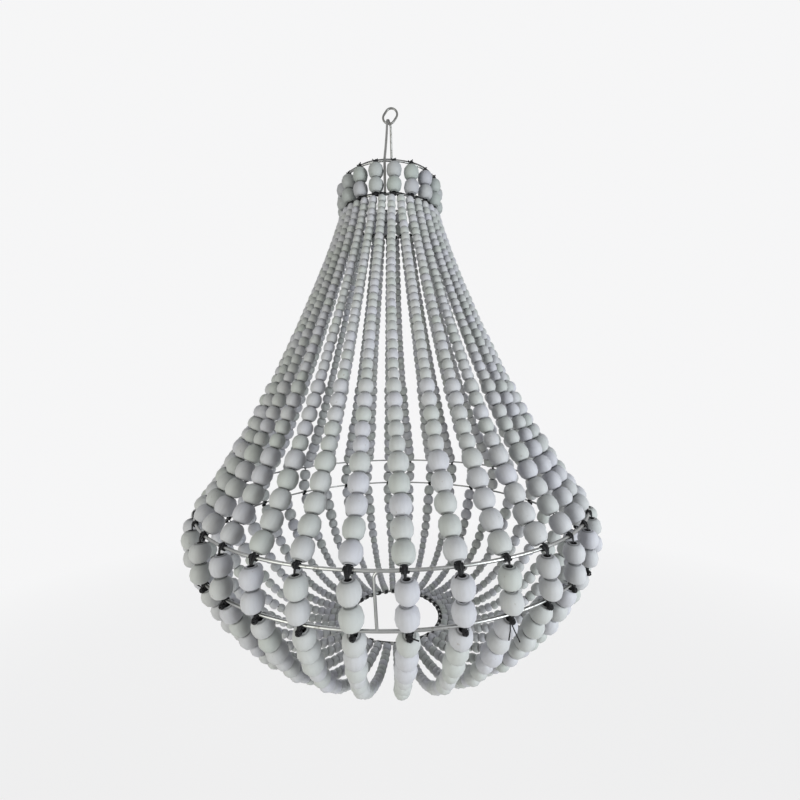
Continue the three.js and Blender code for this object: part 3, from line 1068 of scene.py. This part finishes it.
# %% Hitches on the crown and bottom rings
pair_knot_size, top_knot_size = 4.2 * mm, 4 * mm
crown_hitch = [coil(crown_wire, 3)]
tie("crown_string_hitches", crown_hitch, string_count, crown_radius, crown_foot, string_azimuth, 25, 0.05)
pair_hitch = [coil(crown_wire, 4, 1.9), ball((crown_wire, 0, -crown_wire / 2), pair_knot_size)]
tie("crown_pair_hitches", pair_hitch, pair_count, crown_radius, crown_foot, pair_azimuth, 35, 0.15)
top_knot = Vector((0.5 * mm, 0, 1.6 * mm))
top_hitch = [coil(crown_wire, 5), ball(top_knot, top_knot_size)]
top_hitch.append(bow(top_knot, (mm, -5.5 * mm, 2.6 * mm), (0, 0, -mm)))
top_hitch.append(bow(top_knot, (mm, 2 * mm, 4.2 * mm), (0, 0, 0)))
tie("crown_top_hitches", top_hitch, pair_count, crown_radius, crown_top, pair_azimuth, 45, 0.35, 0.15)
bottom_hitch = [coil(bottom_wire, 4)]
tie("bottom_hitches", bottom_hitch, string_count, bottom_radius, bottom_height, string_azimuth, 55, 0.1)

# %% Cord laid along the small rings, from hitch to hitch
above, below, outside, inside = (math.radians(angle) for angle in (75, -70, 5, 165))
laid_lines = [
    laid_along(crown_radius, crown_top, crown_wire, above, 7),
    laid_along(crown_radius, crown_foot, crown_wire, below, 9),
    laid_along(crown_radius, crown_foot, crown_wire, outside, 11),
    laid_along(bottom_radius, bottom_height, bottom_wire, inside, 9),
]
settle(tube("laid_cords", laid_lines, thin_cord, knot_sides, black_cord, cyclic=True))

# %% [markdown]
# ## Loose ends of cord
# A few knots keep a loose end. Each has the number of its string, the height of its ring, and its points in
# millimetres from the knot: outwards, along the ring and up.

# %% Loose ends of cord
knot_out = waist_radius + knot_centre.x
loose_ends = (
    (2, waist_foot, ((0, 0, -3), (4, -3, -8), (5, -5.5, -15))),
    (2, waist_foot, ((0, 0, -3), (4, 1, -9), (5, 5.5, -19))),
    (0, waist_foot, ((0, 0, -3), (3, 4, -2), (3, 10, -4.5))),
    (1, waist_top, ((0, 0, -2), (2, -3, -4), (1, -5, -7))),
    (-5, waist_foot, ((0, 0, -3), (5, -5, 1), (6, -1, 6), (5, -6, 8))),
    (7, waist_foot, ((0, 0, -3), (4, 4, -6), (3, 7, -12))),
    (16, waist_foot, ((0, 0, -3), (4, -4, -7), (3, -8, -13))),
    (23, waist_foot, ((0, 0, -3), (4, 3, -8), (5, 6, -15))),
)
end_lines = []
for step, height, places in loose_ends:
    azimuth = string_azimuth + full_turn * step / string_count
    end_lines.append([at_azimuth(azimuth, knot_out + x * mm, height + z * mm, y * mm) for x, y, z in places])
settle(tube("loose_ends", end_lines, thin_cord, knot_sides, black_cord))

# %% [markdown]
# ## Light and backdrop
# Soft daylight from three large round lamps. Two stand in front, a little lower than the lens, and the
# third lights the far side. The surround is bright as the camera and the wires see it, and much dimmer as a
# light on the beads. The floor is pale, keeps the shadow and fades into the surround.

# %% Lights
surround = (0.92, 0.92, 0.925)
daylight = (0.86, 0.87, 0.9)
daylight_share = 0.2
middle = Vector((0, 0, (crown_top + bottom_height) / 2))


def lamp(name, place, size, power, colour):
    """A lamp that is turned to the middle of the chandelier. Size in metres, power in watts."""
    data = bpy.data.lights.new(name, "AREA")
    data.shape = "DISK"
    data.size = size
    data.energy = power
    data.color = colour
    light = in_scene(name, data)
    light.location = place
    light.rotation_mode = "QUATERNION"
    light.rotation_quaternion = (middle - Vector(place)).to_track_quat("-Z", "Y")


lamp("key_light", (1.05, -0.85, -0.5), 0.8, 16, (0.925, 0.975, 1.0))
lamp("fill_light", (-0.85, -0.95, -0.55), 1.1, 9.5, (0.995, 1.0, 0.915))
lamp("back_light", (-0.3, 1.6, -0.1), 1.4, 16, (0.98, 0.99, 1.0))

world = bpy.data.worlds.new("surround")
world.use_nodes = True
bpy.context.scene.world = world
air = world.node_tree
air.nodes.clear()


def seen_share(tree):
    """1 for rays from the camera, from gloss and through glass, and 0 for rays that light a surface."""
    rays = add(tree, "ShaderNodeLightPath").outputs
    return calculate(
        tree, "MAXIMUM", rays["Is Camera Ray"],
        calculate(tree, "MAXIMUM", rays["Is Glossy Ray"], rays["Is Transmission Ray"]),
    )


dim_daylight = tuple(daylight_share * c for c in daylight)
glow = blend_colours(air, seen_share(air), dim_daylight, surround)
sky = add(air, "ShaderNodeBackground", {"Color": glow})
air.links.new(sky.outputs[0], add(air, "ShaderNodeOutputWorld").inputs["Surface"])

# %% Floor
floor_drop = 1.5
floor_radius = 12.0
floor_sides = 64
floor_colour = (0.77, 0.75, 0.73)
fade_start, fade_end = 1.6, 3.2
near_share = 0.86
floor_material = bpy.data.materials.new("pale_floor")
floor_material.use_nodes = True
paint = floor_material.node_tree
paint.nodes.clear()
spot = add(paint, "ShaderNodeTexCoord").outputs["Object"]
reach = add(paint, "ShaderNodeVectorMath", {"Vector": spot}, operation="LENGTH").outputs["Value"]
fade_range = {"Value": reach, "From Min": fade_start, "From Max": fade_end, "To Min": near_share}
far = add(paint, "ShaderNodeMapRange", fade_range).outputs[0]
pale = add(paint, "ShaderNodeBsdfDiffuse", {"Color": (*floor_colour, 1)}).outputs[0]
white = add(paint, "ShaderNodeEmission", {"Color": (*surround, 1)}).outputs[0]
share = calculate(paint, "MULTIPLY", far, seen_share(paint))
floor_mix = add(paint, "ShaderNodeMixShader", {"Fac": share, "Shader": pale, "Shader_001": white}).outputs[0]
paint.links.new(floor_mix, add(paint, "ShaderNodeOutputMaterial").inputs["Surface"])

floor_mesh = bmesh.new()
bmesh.ops.create_circle(floor_mesh, cap_ends=True, radius=floor_radius, segments=floor_sides)
floor_mesh.transform(Matrix.Translation((0, 0, -floor_drop)))
floor_data = bpy.data.meshes.new("floor")
floor_mesh.to_mesh(floor_data)
floor_mesh.free()
floor_data.materials.append(floor_material)
floor = in_scene("floor", floor_data)

# %% View settings
bpy.context.scene.view_settings.view_transform = "Standard"
